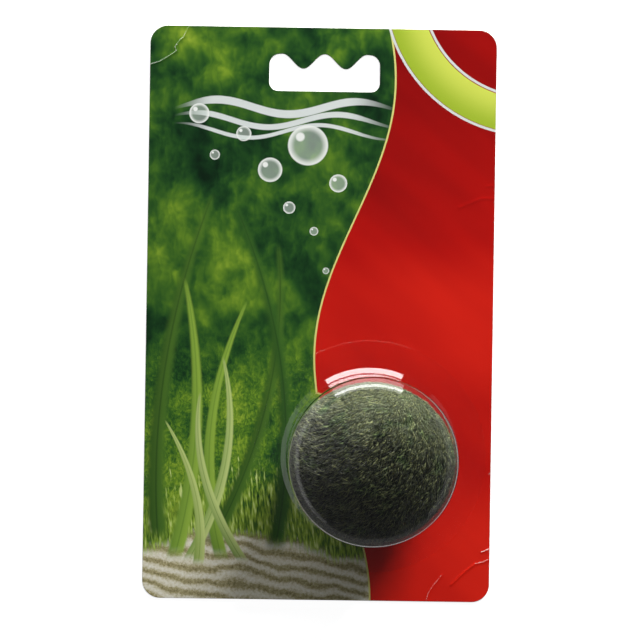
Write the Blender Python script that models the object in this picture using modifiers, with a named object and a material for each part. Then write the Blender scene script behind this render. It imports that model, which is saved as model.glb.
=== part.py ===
"""A moss ball in its blister pack, lying on its back.

A printed card with a hang slot carries a clear, thermoformed blister, and the blister holds one soft round moss ball
against the card. The frame is metres, +Z up. The origin is on the card's back, at the middle of its width and height.
+X runs to the right and +Y up towards the hang slot, as a shopper sees the front. +Z points out of the front.
"""

import math

import bmesh
import bpy
from mathutils import Vector

# Card
CARD_WIDTH = 0.097
CARD_HEIGHT = 0.160
CARD_THICKNESS = 0.0006
CARD_CORNER_RADIUS = 0.005
CORNER_STEPS = 8

# Hang slot: a flat bottom, and three lobes along its top, the middle one for a single peg
SLOT_CENTRE_X = 0.00035
SLOT_BOTTOM_Y = 0.0622
SLOT_WIDTH = 0.0308
SLOT_HEIGHT = 0.0103
SLOT_CORNER_RADIUS = 0.0024
SLOT_LOBE_SPACING = 0.0119
SLOT_POINT_DEPTH = 0.0041
SLOT_END_ROUND = 0.0030
SLOT_SCALLOP_STEPS = 24

# Moss ball: nearly round, a little lumpy, pressed flat on the card and sunk towards the dome's lower side
BALL_HALF_WIDTH = 0.0220
BALL_HALF_HEIGHT = 0.0215
BALL_HALF_DEPTH = 0.0220
BALL_SAG = 0.0007
BALL_LUMP_HEIGHT = 0.00025
BALL_FLAT_DEPTH = 0.0003
BALL_SUBDIVISIONS = 4

# Blister: a round flange on the card, a sloping foot, a slightly tapered wall, a round shoulder and a low crown
DOME_X = 0.0145
DOME_Y = -0.03975
SHEET_THICKNESS = 0.00035
FLANGE_RADIUS = 0.03235
FOOT_RADIUS = 0.0250
FOOT_HEIGHT = 0.0016
WALL_FOOT_RADIUS = 0.0232
WALL_TOP_RADIUS = 0.0229
SHOULDER_RADIUS = 0.0096
SHOULDER_Z = 0.0360
CROWN_SLOPE_DEG = 6.0
GAP = 0.0003
CROWN_STEPS = 3
SHOULDER_STEPS = 7
TURN_STEPS = 64

# Levels above the card's back
CARD_FRONT_Z = CARD_THICKNESS
BALL_REST_Z = CARD_FRONT_Z + GAP
BALL_CENTRE_Z = BALL_REST_Z + BALL_HALF_DEPTH - BALL_FLAT_DEPTH
FLANGE_TOP_Z = CARD_FRONT_Z + GAP + SHEET_THICKNESS

CARD_RED = (0.52, 0.012, 0.014, 1.0)
CLEAR_SHEET = (0.93, 0.95, 0.95, 1.0)
MOSS_GREEN = (0.060, 0.072, 0.040, 1.0)


def clear_scene():
    for obj in list(bpy.data.objects):
        bpy.data.objects.remove(obj, do_unlink=True)


def make_material(name, colour, roughness, metallic=0.0, transmission=0.0, ior=1.5):
    material = bpy.data.materials.new(name)
    material.use_nodes = True
    shader = material.node_tree.nodes["Principled BSDF"]
    shader.inputs["Base Color"].default_value = colour
    shader.inputs["Roughness"].default_value = roughness
    shader.inputs["Metallic"].default_value = metallic
    shader.inputs["Transmission Weight"].default_value = transmission
    shader.inputs["IOR"].default_value = ior
    return material


def arc(centre, radius, start_deg, end_deg, steps):
    """Points on an arc in the plane, both ends included."""
    points = []
    for step in range(steps + 1):
        angle = math.radians(start_deg + (end_deg - start_deg) * step / steps)
        points.append((centre[0] + radius * math.cos(angle), centre[1] + radius * math.sin(angle)))
    return points


def card_outline():
    """The card's rounded rectangle, anticlockwise from the bottom right corner."""
    inner_x = CARD_WIDTH / 2 - CARD_CORNER_RADIUS
    inner_y = CARD_HEIGHT / 2 - CARD_CORNER_RADIUS
    corners = (
        ((inner_x, -inner_y), -90),
        ((inner_x, inner_y), 0),
        ((-inner_x, inner_y), 90),
        ((-inner_x, -inner_y), 180),
    )
    points = []
    for centre, start in corners:
        points += arc(centre, CARD_CORNER_RADIUS, start, start + 90, CORNER_STEPS)
    return points


def slot_outline():
    """The hang slot: rounded lower corners, and a top edge of three lobes with two points between them."""
    half = SLOT_WIDTH / 2
    top = SLOT_BOTTOM_Y + SLOT_HEIGHT
    low_y = SLOT_BOTTOM_Y + SLOT_CORNER_RADIUS
    points = arc((half - SLOT_CORNER_RADIUS, low_y), SLOT_CORNER_RADIUS, -90, 0, CORNER_STEPS // 2)
    points += arc((half - SLOT_END_ROUND, top - SLOT_END_ROUND), SLOT_END_ROUND, 0, 72, CORNER_STEPS // 2)
    # An even number of samples, so that two of them straddle the middle lobe and leave it a flat crest.
    reach = half - SLOT_END_ROUND
    for step in range(SLOT_SCALLOP_STEPS):
        x = reach - 2 * reach * (step + 0.5) / SLOT_SCALLOP_STEPS
        swing = 0.5 - 0.5 * math.cos(2 * math.pi * x / SLOT_LOBE_SPACING)
        points.append((x, top - SLOT_POINT_DEPTH * swing))
    points += arc((SLOT_END_ROUND - half, top - SLOT_END_ROUND), SLOT_END_ROUND, 108, 180, CORNER_STEPS // 2)
    points += arc((SLOT_CORNER_RADIUS - half, low_y), SLOT_CORNER_RADIUS, 180, 270, CORNER_STEPS // 2)
    return [(x + SLOT_CENTRE_X, y) for x, y in points]


def add_outline(curve, points):
    spline = curve.splines.new("POLY")
    spline.points.add(len(points) - 1)
    for point, (x, y) in zip(spline.points, points):
        point.co = (x, y, 0.0, 1.0)
    spline.use_cyclic_u = True


def build_card(collection):
    """The flat card, cut through at the hang slot."""
    curve = bpy.data.curves.new("card", "CURVE")
    curve.dimensions = "2D"
    curve.fill_mode = "BOTH"
    curve.extrude = CARD_THICKNESS / 2
    add_outline(curve, card_outline())
    add_outline(curve, slot_outline())
    curve.materials.append(make_material("printed_card", CARD_RED, 0.3))
    card = bpy.data.objects.new("card", curve)
    card.location = (0.0, 0.0, CARD_THICKNESS / 2)
    collection.objects.link(card)
    return card


def blister_profile():
    """The blister's outer side from the middle of the crown down to the rim of the flange, as radius and height."""
    shoulder_centre = (WALL_TOP_RADIUS - SHOULDER_RADIUS, SHOULDER_Z)
    shoulder = arc(shoulder_centre, SHOULDER_RADIUS, 90 - CROWN_SLOPE_DEG, 0, SHOULDER_STEPS)
    # The crown is a shallow arc about a point far below, and it meets the shoulder at the same slope.
    crown_edge_x, crown_edge_z = shoulder[0]
    crown_radius = crown_edge_x / math.sin(math.radians(CROWN_SLOPE_DEG))
    crown_centre = (0.0, crown_edge_z - crown_radius * math.cos(math.radians(CROWN_SLOPE_DEG)))
    crown = arc(crown_centre, crown_radius, 90, 90 - CROWN_SLOPE_DEG, CROWN_STEPS)
    foot = [
        (WALL_FOOT_RADIUS, FLANGE_TOP_Z + FOOT_HEIGHT),
        (FOOT_RADIUS, FLANGE_TOP_Z),
        (FLANGE_RADIUS, FLANGE_TOP_Z),
    ]
    return crown + shoulder[1:] + foot


def build_blister(collection, stand):
    """The clear sheet: the profile turned about the dome's axis, then given its thickness inwards."""
    profile = blister_profile()
    mesh = bpy.data.meshes.new("blister")
    edges = [(i, i + 1) for i in range(len(profile) - 1)]
    mesh.from_pydata([(radius, 0.0, height) for radius, height in profile], edges, [])
    mesh.materials.append(make_material("clear_sheet", CLEAR_SHEET, 0.05, transmission=1.0, ior=1.57))
    blister = bpy.data.objects.new("blister", mesh)
    collection.objects.link(blister)
    blister.parent = stand

    turn = blister.modifiers.new("turn", "SCREW")
    turn.axis = "Z"
    turn.angle = math.tau
    turn.steps = TURN_STEPS
    turn.render_steps = TURN_STEPS
    turn.use_merge_vertices = True
    turn.merge_threshold = 0.00005
    turn.use_smooth_shade = True

    sheet = blister.modifiers.new("sheet", "SOLIDIFY")
    sheet.thickness = SHEET_THICKNESS
    sheet.offset = -1.0
    sheet.use_even_offset = True
    return blister


def lump(direction):
    """How far the moss stands out in a direction, from -1 to 1: a few broad waves that never repeat on the ball."""
    x, y, z = direction
    waves = math.sin(5.1 * x + 1.7 * y + 0.4)
    waves += math.sin(4.3 * y - 3.7 * z + 1.9)
    waves += math.sin(6.2 * z + 2.9 * x - 0.8)
    return waves / 3


def build_ball(collection, stand):
    """The moss ball out to its fibre tips."""
    mesh = bpy.data.meshes.new("moss_ball")
    form = bmesh.new()
    bmesh.ops.create_icosphere(form, subdivisions=BALL_SUBDIVISIONS, radius=1.0)
    half_sizes = Vector((BALL_HALF_WIDTH, BALL_HALF_HEIGHT, BALL_HALF_DEPTH))
    for vertex in form.verts:
        direction = vertex.co.normalized()
        hollow = BALL_LUMP_HEIGHT * (1 - lump(direction)) / 2
        place = direction * half_sizes - direction * hollow
        place += Vector((0.0, -BALL_SAG, BALL_CENTRE_Z))
        place.z = max(place.z, BALL_REST_Z)
        vertex.co = place
    form.to_mesh(mesh)
    form.free()
    mesh.shade_smooth()
    mesh.materials.append(make_material("moss", MOSS_GREEN, 0.9))
    ball = bpy.data.objects.new("moss_ball", mesh)
    collection.objects.link(ball)
    ball.parent = stand
    return ball


def main():
    clear_scene()
    collection = bpy.data.collections.new("moss_ball_blister_pack")
    bpy.context.scene.collection.children.link(collection)
    stand = bpy.data.objects.new("dome_axis", None)
    stand.location = (DOME_X, DOME_Y, 0.0)
    collection.objects.link(stand)
    build_card(collection)
    build_blister(collection, stand)
    build_ball(collection, stand)


main()
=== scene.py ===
"""Looks of a moss ball in its blister pack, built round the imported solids.

The pack lies on its back: a creased, glossy printed card, a clear thermoformed dome sealed to it, and a ball
of combed moss fibres inside the dome. Lengths are metres, in the frame of the solids. Places on the print and
along the creases are millimetres from the card's middle.
"""

import logging
import math
from dataclasses import dataclass
from enum import Enum

import bmesh
import bpy
import numpy as np
from mathutils import Matrix, Vector, geometry, noise


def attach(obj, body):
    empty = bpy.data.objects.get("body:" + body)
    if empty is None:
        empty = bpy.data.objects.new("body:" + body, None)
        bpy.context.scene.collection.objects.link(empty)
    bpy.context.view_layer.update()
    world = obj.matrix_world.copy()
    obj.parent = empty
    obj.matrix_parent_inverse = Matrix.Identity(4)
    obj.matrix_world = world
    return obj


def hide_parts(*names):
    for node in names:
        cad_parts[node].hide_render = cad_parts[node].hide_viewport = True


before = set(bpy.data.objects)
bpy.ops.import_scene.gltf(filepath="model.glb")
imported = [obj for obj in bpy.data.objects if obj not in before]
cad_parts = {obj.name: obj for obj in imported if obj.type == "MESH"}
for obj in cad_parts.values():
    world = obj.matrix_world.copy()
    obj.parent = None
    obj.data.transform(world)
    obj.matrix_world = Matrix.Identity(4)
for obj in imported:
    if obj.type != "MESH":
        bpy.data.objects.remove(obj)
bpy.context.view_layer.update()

LOG = logging.getLogger("moss_ball_pack")
MM = 0.001
BODY = "root"

Colour = tuple[float, float, float]
Point2 = tuple[float, float]
Point3 = tuple[float, float, float]
Stops = list[tuple[float, Colour]]
Face = tuple[int, ...]

# Where the dome stands on the card, and how far below its middle the ball has sunk.
DOME_AXIS: Point2 = (0.0145, -0.03975)
BALL_SAG = 0.0010


class Slot(Enum):
    """Material slot names."""

    CARD = "printed_card"
    SHEET = "clear_sheet"
    MOSS = "moss"


# Node graphs


@dataclass(frozen=True)
class Wire:
    """One output socket, on which Python arithmetic adds Math nodes."""

    graph: "Graph"
    socket: bpy.types.NodeSocket

    def output(self, name: str) -> "Wire":
        """Another output of the same node."""
        return Wire(self.graph, self.socket.node.outputs[name])

    def __add__(self, other: "Wire | float") -> "Wire":
        """self + other."""
        return self.graph.math("ADD", self, other)

    def __radd__(self, other: float) -> "Wire":
        """other + self."""
        return self.graph.math("ADD", other, self)

    def __sub__(self, other: "Wire | float") -> "Wire":
        """self - other."""
        return self.graph.math("SUBTRACT", self, other)

    def __rsub__(self, other: float) -> "Wire":
        """other - self."""
        return self.graph.math("SUBTRACT", other, self)

    def __mul__(self, other: "Wire | float") -> "Wire":
        """self * other."""
        return self.graph.math("MULTIPLY", self, other)

    def __rmul__(self, other: float) -> "Wire":
        """other * self."""
        return self.graph.math("MULTIPLY", other, self)

    def __truediv__(self, other: "Wire | float") -> "Wire":
        """self / other."""
        return self.graph.math("DIVIDE", self, other)

    def __rtruediv__(self, other: float) -> "Wire":
        """other / self."""
        return self.graph.math("DIVIDE", other, self)

    def __pow__(self, other: "Wire | float") -> "Wire":
        """self ** other."""
        return self.graph.math("POWER", self, other)

    def __abs__(self) -> "Wire":
        """abs(self)."""
        return self.graph.math("ABSOLUTE", self)


Value = Wire | float
Tint = Wire | Colour


class Graph:
    """Adds nodes to one node tree."""

    def __init__(self, tree: bpy.types.NodeTree) -> None:
        """Wraps a tree."""
        self.tree = tree

    def node(self, kind: str, settings: dict | None = None, sockets: dict | None = None) -> bpy.types.Node:
        """Adds one node.

        Args:
            kind: the node's type.
            settings: its properties, set before its sockets. "stops" holds a colour ramp's stops.
            sockets: values or wires for its inputs, by name or index.

        Returns:
            The node.
        """
        node = self.tree.nodes.new(kind)
        for name, value in (settings or {}).items():
            if name == "stops":
                self._set_stops(node.color_ramp, value)
            else:
                setattr(node, name, value)
        for key, value in (sockets or {}).items():
            self.feed(node.inputs[key], value)
        return node

    def add(
        self, kind: str, settings: dict | None = None, sockets: dict | None = None, output: int | str = 0
    ) -> Wire:
        """Adds one node, and returns the wire from the output named or numbered."""
        return Wire(self, self.node(kind, settings, sockets).outputs[output])

    def feed(self, socket: bpy.types.NodeSocket, value: object) -> None:
        """Links a wire to a socket, or sets a plain value on it.

        Args:
            socket: the input.
            value: a wire, a number, a vector, a colour or a datablock.
        """
        if isinstance(value, Wire):
            self.tree.links.new(value.socket, socket)
        elif socket.type == "RGBA" and len(value) == 3:
            socket.default_value = (*value, 1.0)
        else:
            socket.default_value = value

    @staticmethod
    def _set_stops(ramp: bpy.types.ColorRamp, stops: Stops) -> None:
        """Gives a colour ramp its stops.

        Args:
            ramp: the colour ramp, which starts with two.
            stops: places from 0 to 1 with their colours.
        """
        while len(ramp.elements) < len(stops):
            ramp.elements.new(0.5)
        for element, (place, colour) in zip(ramp.elements, stops):
            element.position = place
            element.color = (*colour, 1.0)

    def math(self, operation: str, *values: Value) -> Wire:
        """One Math node on numbers or wires."""
        return self.add("ShaderNodeMath", {"operation": operation}, dict(enumerate(values)))

    def vector(self, operation: str, *values: Wire | Point3) -> Wire:
        """One Vector Math node on vectors."""
        return self.add("ShaderNodeVectorMath", {"operation": operation}, dict(enumerate(values)))

    def scaled(self, vector: Wire, factor: Value) -> Wire:
        """A vector times a number."""
        return self.add("ShaderNodeVectorMath", {"operation": "SCALE"}, {0: vector, "Scale": factor})

    def combine(self, x: Value, y: Value, z: Value = 0.0) -> Wire:
        """A vector from three numbers."""
        return self.add("ShaderNodeCombineXYZ", None, {0: x, 1: y, 2: z})

    def separate(self, vector: Wire) -> tuple[Wire, Wire, Wire]:
        """The three numbers of a vector."""
        x = self.add("ShaderNodeSeparateXYZ", None, {0: vector})
        return x, x.output("Y"), x.output("Z")

    def smooth(self, value: Value, low: float, high: float, top: float = 1.0) -> Wire:
        """A smooth step.

        Args:
            value: what is stepped.
            low: where the step is 0. It may be above high.
            high: where the step is at its top.
            top: how high it goes.

        Returns:
            A number from 0 to top.
        """
        if low > high:
            low, high, start, end = high, low, top, 0.0
        else:
            start, end = 0.0, top
        return self.add(
            "ShaderNodeMapRange",
            {"interpolation_type": "SMOOTHSTEP"},
            {"Value": value, "From Min": low, "From Max": high, "To Min": start, "To Max": end},
        )

    def noise(
        self, vector: Wire, scale: float, detail: float = 2.0, rough: float = 0.5, warp: float = 0.0
    ) -> Wire:
        """Noise.

        Args:
            vector: where it is read.
            scale: how many swells there are to one unit of length.
            detail: how many finer layers it has.
            rough: how strong the finer layers are.
            warp: how far it is twisted.

        Returns:
            A number around 0.5. The node's Color output is three such numbers.
        """
        return self.add(
            "ShaderNodeTexNoise",
            {"noise_dimensions": "3D"},
            {"Vector": vector, "Scale": scale, "Detail": detail, "Roughness": rough, "Distortion": warp},
        )

    def mix(self, factor: Value, first: Tint, second: Tint, blend: str = "MIX") -> Wire:
        """Two colours mixed.

        Args:
            factor: how much of the second there is, from 0 to 1.
            first: the colour underneath.
            second: the colour on top.
            blend: the Mix node's blend type.

        Returns:
            The mixed colour.
        """
        # A Mix node has sockets of its own for numbers, vectors and colours. These are the colours'.
        sockets = {0: factor, 6: first, 7: second}
        return self.add("ShaderNodeMix", {"data_type": "RGBA", "blend_type": blend}, sockets, 2)

    def ramp(self, value: Wire, stops: Stops, shape: str = "LINEAR") -> Wire:
        """A colour ramp.

        Args:
            value: what picks the colour.
            stops: places from 0 to 1 with their colours.
            shape: how it blends from stop to stop.

        Returns:
            The colour picked.
        """
        wire = self.add("ShaderNodeValToRGB", {"stops": stops}, {0: value})
        wire.socket.node.color_ramp.interpolation = shape
        return wire

    def attribute(self, name: str) -> Wire:
        """A number stored on the mesh."""
        return self.add("ShaderNodeAttribute", {"attribute_name": name}, None, "Fac")

    def bump(self, height: Wire, distance: float, strength: float) -> Wire:
        """A normal bumped by a height, whose 1 is a distance in metres."""
        sockets = {"Height": height, "Distance": distance, "Strength": strength}
        return self.add("ShaderNodeBump", None, sockets)


class Finish:
    """A material in the making: its node graph and its Principled shader."""

    def __init__(self, name: str, constants: dict[str, object]) -> None:
        """Starts a material.

        Args:
            name: the material's name.
            constants: values set directly on the shader's sockets.
        """
        self.material = bpy.data.materials.new(name)
        self.material.use_nodes = True
        self.graph = Graph(self.material.node_tree)
        self.shader = self.material.node_tree.nodes["Principled BSDF"]
        for socket, value in constants.items():
            self.graph.feed(self.shader.inputs[socket], value)

    def paint(self, **sockets: Wire) -> None:
        """Links wires to the shader, by socket name with _ for a space."""
        for name, wire in sockets.items():
            self.graph.feed(self.shader.inputs[name.replace("_", " ")], wire)

    def position_mm(self) -> Wire:
        """Object coordinates in millimetres."""
        place = self.graph.add("ShaderNodeTexCoord", None, None, "Object")
        return self.graph.scaled(place, 1.0 / MM)

    def principled(self) -> Wire:
        """What the Principled shader gives."""
        return Wire(self.graph, self.shader.outputs[0])

    def show(self, surface: Wire) -> None:
        """Makes another shader the material's surface."""
        output = self.material.node_tree.nodes["Material Output"]
        self.graph.feed(output.inputs["Surface"], surface)


# Finishes

LEAF_DARK: Colour = (0.010, 0.036, 0.008)
LEAF_MID: Colour = (0.085, 0.200, 0.022)
LEAF_LIME: Colour = (0.330, 0.500, 0.060)
LEAF_PALE: Colour = (0.620, 0.720, 0.260)
PAPER_WHITE: Colour = (0.780, 0.770, 0.740)
SILVER: Colour = (0.700, 0.740, 0.720)


@dataclass(frozen=True)
class RibbonLeaf:
    """A long printed leaf, from its root to its tip. blur is how soft its edges are, in millimetres."""

    root: Point2
    tip: Point2
    bow: float
    half_width: float
    dark: Colour
    light: Colour
    blur: float = 0.25


@dataclass(frozen=True)
class Bubble:
    """A printed air bubble."""

    centre: Point2
    radius: float


@dataclass(frozen=True)
class PrintedFront:
    """Coated print: a planted tank on the left, plain red on the right, and an S-shaped edge between them."""

    leaves: tuple[RibbonLeaf, ...] = (
        RibbonLeaf((-44.0, -66.0), (-30.0, 34.0), -6.0, 2.6, LEAF_DARK, LEAF_MID, 1.2),
        RibbonLeaf((-30.0, -66.0), (-12.0, 20.0), 7.0, 2.2, LEAF_DARK, LEAF_MID, 1.0),
        RibbonLeaf((-12.0, -68.0), (-24.0, 30.0), 8.0, 2.4, LEAF_DARK, (0.05, 0.15, 0.02), 1.4),
        RibbonLeaf((-40.0, -70.0), (-38.0, 10.0), 5.0, 2.2, LEAF_MID, LEAF_LIME, 0.5),
        RibbonLeaf((-26.0, -70.0), (-20.0, 4.0), -7.0, 1.9, LEAF_MID, LEAF_LIME, 0.35),
        RibbonLeaf((-36.0, -70.0), (-27.0, -12.0), 6.0, 1.7, (0.10, 0.23, 0.02), LEAF_PALE, 0.25),
        RibbonLeaf((-20.0, -70.0), (-33.0, -22.0), -5.0, 1.6, LEAF_MID, LEAF_PALE, 0.25),
        RibbonLeaf((-33.0, -71.0), (-43.0, -30.0), 4.0, 1.5, (0.14, 0.26, 0.02), LEAF_PALE, 0.2),
    )
    bubbles: tuple[Bubble, ...] = (
        Bubble((-4.0, 47.0), 5.6),
        Bubble((-14.5, 40.0), 3.4),
        Bubble((4.6, 36.5), 2.5),
        Bubble((-22.0, 50.0), 2.1),
        Bubble((-9.0, 29.5), 1.7),
        Bubble((-30.0, 44.0), 1.4),
        Bubble((-2.0, 23.0), 1.2),
        Bubble((-34.5, 55.5), 2.8),
        Bubble((1.5, 12.0), 0.9),
    )

    def make(self) -> bpy.types.Material:
        """Builds the printed material.

        Returns:
            The material, which reads the mesh's wear attribute.
        """
        finish = Finish("printed_card_front", {"Coat Roughness": 0.18, "Specular IOR Level": 0.45})
        graph = finish.graph
        place = finish.position_mm()
        x, y, _ = graph.separate(place)
        flat = graph.combine(x, y)
        tank = self._planting(graph, flat, x, y)
        tank = self._sand(graph, tank, flat, x, y)
        for leaf in self.leaves:
            tank = self._leaf(graph, tank, leaf, x, y)
        tank = self._waves(graph, tank, x, y)
        for bubble in self.bubbles:
            tank = self._bubble(graph, tank, bubble, x, y)
        picture = self._join(graph, tank, self._red(graph, x, y), x, y)
        picture = self._corner(graph, picture, x, y)
        grain = graph.noise(place, 2.6, 4.0, 0.6)
        worn = graph.smooth(graph.attribute("wear") + 0.5 * (grain - 0.5), 0.30, 0.62)
        colour = graph.mix(worn, picture, PAPER_WHITE)
        handling = graph.noise(place, 0.22, 5.0, 0.65)
        relief = graph.noise(place, 3.0, 3.0) + 2.0 * graph.noise(place, 0.12, 2.0)
        finish.paint(
            Base_Color=colour,
            Roughness=0.24 + 0.16 * handling + 0.45 * worn,
            Coat_Weight=0.5 * (1 - worn),
            Normal=graph.bump(relief, 0.00002, 0.5),
        )
        return finish.material

    def _planting(self, graph: Graph, flat: Wire, x: Wire, y: Wire) -> Wire:
        """Out-of-focus water plants: soft clumps far behind, and finer fronds in front of them.

        Args:
            graph: the print's graph.
            flat: the place on the card as a vector.
            x: its millimetres to the right.
            y: its millimetres up.

        Returns:
            The colour of the planting.
        """
        wide = graph.noise(flat, 0.034, 2.0, 0.5, 0.3)
        clumps = graph.noise(flat, 0.11, 3.0, 0.6, 0.25)
        bent = graph.combine(x + 6.0 * clumps, 0.45 * y)
        fronds = graph.noise(bent, 0.40, 2.0, 0.55, 0.4)
        near = graph.smooth(y + 20.0 * (wide - 0.5), 4.0, -30.0)
        fuzz = graph.noise(graph.combine(x + 3.0 * fronds, 0.6 * y + 3.0 * clumps), 1.5, 3.0, 0.65, 0.5)
        depth = 0.80 * wide + 0.50 * clumps + 0.22 * fronds + near * (0.12 + 0.55 * (fuzz - 0.5)) - 0.31
        return graph.ramp(
            depth,
            [
                (0.26, (0.003, 0.011, 0.005)),
                (0.40, (0.008, 0.056, 0.014)),
                (0.53, (0.050, 0.155, 0.014)),
                (0.66, (0.210, 0.360, 0.020)),
                (0.80, (0.500, 0.560, 0.070)),
            ],
            "B_SPLINE",
        )

    def _sand(self, graph: Graph, under: Wire, flat: Wire, x: Wire, y: Wire) -> Wire:
        """Rippled pale sand along the bottom, with short grass rising from its far edge.

        Args:
            graph: the print's graph.
            under: the colour printed so far.
            flat: the place on the card as a vector.
            x: its millimetres to the right.
            y: its millimetres up.

        Returns:
            The colour with the sand and the grass.
        """
        drift = graph.noise(flat, 0.06, 2.0)
        blades = graph.noise(graph.combine(x + 0.10 * y, 0.14 * y), 1.5, 2.0, 0.6)
        shore = y + 9.0 * drift + 3.0 * graph.math("SINE", 0.09 * x + 0.6)
        height = graph.smooth(shore, -34.0, -58.0)
        grass = graph.smooth(blades + 0.42 * height, 0.66, 0.80) * graph.smooth(height, 0.02, 0.12)
        greens = [(0.40, (0.050, 0.120, 0.010)), (0.56, (0.28, 0.42, 0.04)), (0.70, LEAF_PALE)]
        under = graph.mix(grass, under, graph.ramp(blades, greens))
        ripples = graph.math("SINE", 1.7 * y + 16.0 * drift + 0.25 * x)
        grains = graph.noise(flat, 1.3, 3.0, 0.7)
        tone = 0.5 + 0.20 * ripples + 0.9 * (grains - 0.5)
        sand = graph.ramp(
            tone,
            [
                (0.10, (0.110, 0.092, 0.030)),
                (0.38, (0.420, 0.370, 0.190)),
                (0.60, (0.700, 0.660, 0.500)),
                (0.90, (0.860, 0.850, 0.780)),
            ],
        )
        edge = graph.smooth(shore + 7.0 * (blades - 0.5), -58.5, -62.0)
        return graph.mix(edge, under, sand)

    def _leaf(self, graph: Graph, under: Wire, leaf: RibbonLeaf, x: Wire, y: Wire) -> Wire:
        """One leaf: a bowed ribbon with a darker midrib.

        Args:
            graph: the print's graph.
            under: the colour printed so far.
            leaf: the leaf's places, bow, width and colours.
            x: the millimetres to the right on the card.
            y: the millimetres up.

        Returns:
            The colour with the leaf.
        """
        (root_x, root_y), (tip_x, tip_y) = leaf.root, leaf.tip
        along = (y - root_y) / (tip_y - root_y)
        centre = root_x + (tip_x - root_x) * along + (4.0 * leaf.bow) * (along * (1 - along))
        across = (x - centre) / leaf.half_width
        full = graph.math("MAXIMUM", 1 - along, 0.0) ** 0.55
        edge = graph.smooth(full - abs(across), -leaf.blur / leaf.half_width, leaf.blur / leaf.half_width)
        shade = 0.50 + 0.32 * across + 0.25 * along - 0.30 * graph.smooth(abs(across), 0.16, 0.0)
        ends = graph.smooth(along, 0.0, 0.06) * graph.smooth(along, 1.0, 0.96)
        return graph.mix(edge * ends, under, graph.mix(shade, leaf.dark, leaf.light))

    def _bubble(self, graph: Graph, under: Wire, bubble: Bubble, x: Wire, y: Wire) -> Wire:
        """One bubble: a bright rim, a clear middle and a small highlight.

        Args:
            graph: the print's graph.
            under: the colour printed so far.
            bubble: its place and radius.
            x: the millimetres to the right on the card.
            y: the millimetres up.

        Returns:
            The colour with the bubble.
        """
        dx, dy = x - bubble.centre[0], y - bubble.centre[1]
        reach = graph.math("SQRT", dx * dx + dy * dy) / bubble.radius
        inside = graph.smooth(reach, 1.03, 0.97)
        rim = graph.smooth(reach, 0.62, 0.98) * inside
        glint_x, glint_y = dx / bubble.radius + 0.40, dy / bubble.radius - 0.42
        glint = graph.smooth(glint_x * glint_x + glint_y * glint_y, 0.075, 0.025)
        body = graph.mix(0.28 * inside, under, (0.78, 0.90, 0.80))
        return graph.mix(graph.math("MAXIMUM", 0.88 * rim, glint), body, (0.88, 0.90, 0.86))

    def _waves(self, graph: Graph, under: Wire, x: Wire, y: Wire) -> Wire:
        """Three tapering silver wave lines across the upper part.

        Args:
            graph: the print's graph.
            under: the colour printed so far.
            x: the millimetres to the right on the card.
            y: the millimetres up.

        Returns:
            The colour with the waves.
        """
        fade = graph.smooth(x, -42.0, -30.0) * graph.smooth(x, 22.0, 6.0)
        for level, phase, weight in ((57.5, 0.0, 1.1), (53.8, 0.9, 0.8), (50.8, 1.7, 0.55)):
            line = abs(y - level - 1.9 * graph.math("SINE", 0.16 * x + phase))
            thick = weight * (0.35 + 0.65 * fade)
            under = graph.mix(graph.smooth(thick - line, -0.12, 0.12) * fade, under, SILVER)
        return under

    def _red(self, graph: Graph, x: Wire, y: Wire) -> Wire:
        """The red field, lighter towards the right, in the middle and low down, with broad soft streaks.

        Args:
            graph: the print's graph.
            x: the millimetres to the right on the card.
            y: the millimetres up.

        Returns:
            The red.
        """
        streaks = graph.noise(graph.combine(0.4 * x + 0.5 * y, 0.1 * x - 0.08 * y), 0.10, 2.0)
        low = graph.smooth(y - 0.3 * x, -58.0, -78.0, 0.30)
        middle = graph.smooth(abs(y + 2.0), 26.0, 6.0, 0.24)
        sides = graph.smooth(x, 4.0, 48.0, 0.15) + graph.smooth(y, 70.0, 0.0, 0.40)
        glow = sides + low + middle + 0.7 * (streaks - 0.5)
        return graph.ramp(
            glow,
            [
                (0.0, (0.230, 0.0006, 0.0010)),
                (0.45, (0.480, 0.0030, 0.0010)),
                (0.9, (0.740, 0.0140, 0.0040)),
            ],
        )

    def _join(self, graph: Graph, tank: Wire, red: Wire, x: Wire, y: Wire) -> Wire:
        """The red field beside the tank, with a thin pale yellow line along the edge.

        Args:
            graph: the print's graph.
            tank: the colour on the left.
            red: the colour on the right.
            x: the millimetres to the right on the card.
            y: the millimetres up.

        Returns:
            The joined colour.
        """
        edge = x - 8.5 - 9.5 * graph.math("SINE", 0.043 * y - 1.15) - 0.035 * y
        line = graph.smooth(abs(edge), 0.34, 0.16)
        joined = graph.mix(graph.smooth(edge, -0.08, 0.08), tank, red)
        return graph.mix(line, joined, (0.72, 0.70, 0.22))

    def _corner(self, graph: Graph, under: Wire, x: Wire, y: Wire) -> Wire:
        """A lime band between silver hairlines, sweeping round the upper right corner.

        Args:
            graph: the print's graph.
            under: the colour printed so far.
            x: the millimetres to the right on the card.
            y: the millimetres up.

        Returns:
            The colour with the band.
        """
        dx, dy = x - 58.0, y - 92.0
        reach = graph.math("SQRT", dx * dx + dy * dy)
        band = graph.smooth(abs(reach - 36.0), 4.9, 4.75)
        limes = [(0.0, (0.66, 0.74, 0.10)), (1.0, (0.36, 0.50, 0.03))]
        under = graph.mix(band, under, graph.ramp(graph.smooth(reach, 31.0, 41.0), limes))
        for radius in (41.3, 30.6):
            under = graph.mix(graph.smooth(abs(reach - radius), 0.42, 0.28), under, SILVER)
        return under


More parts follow.
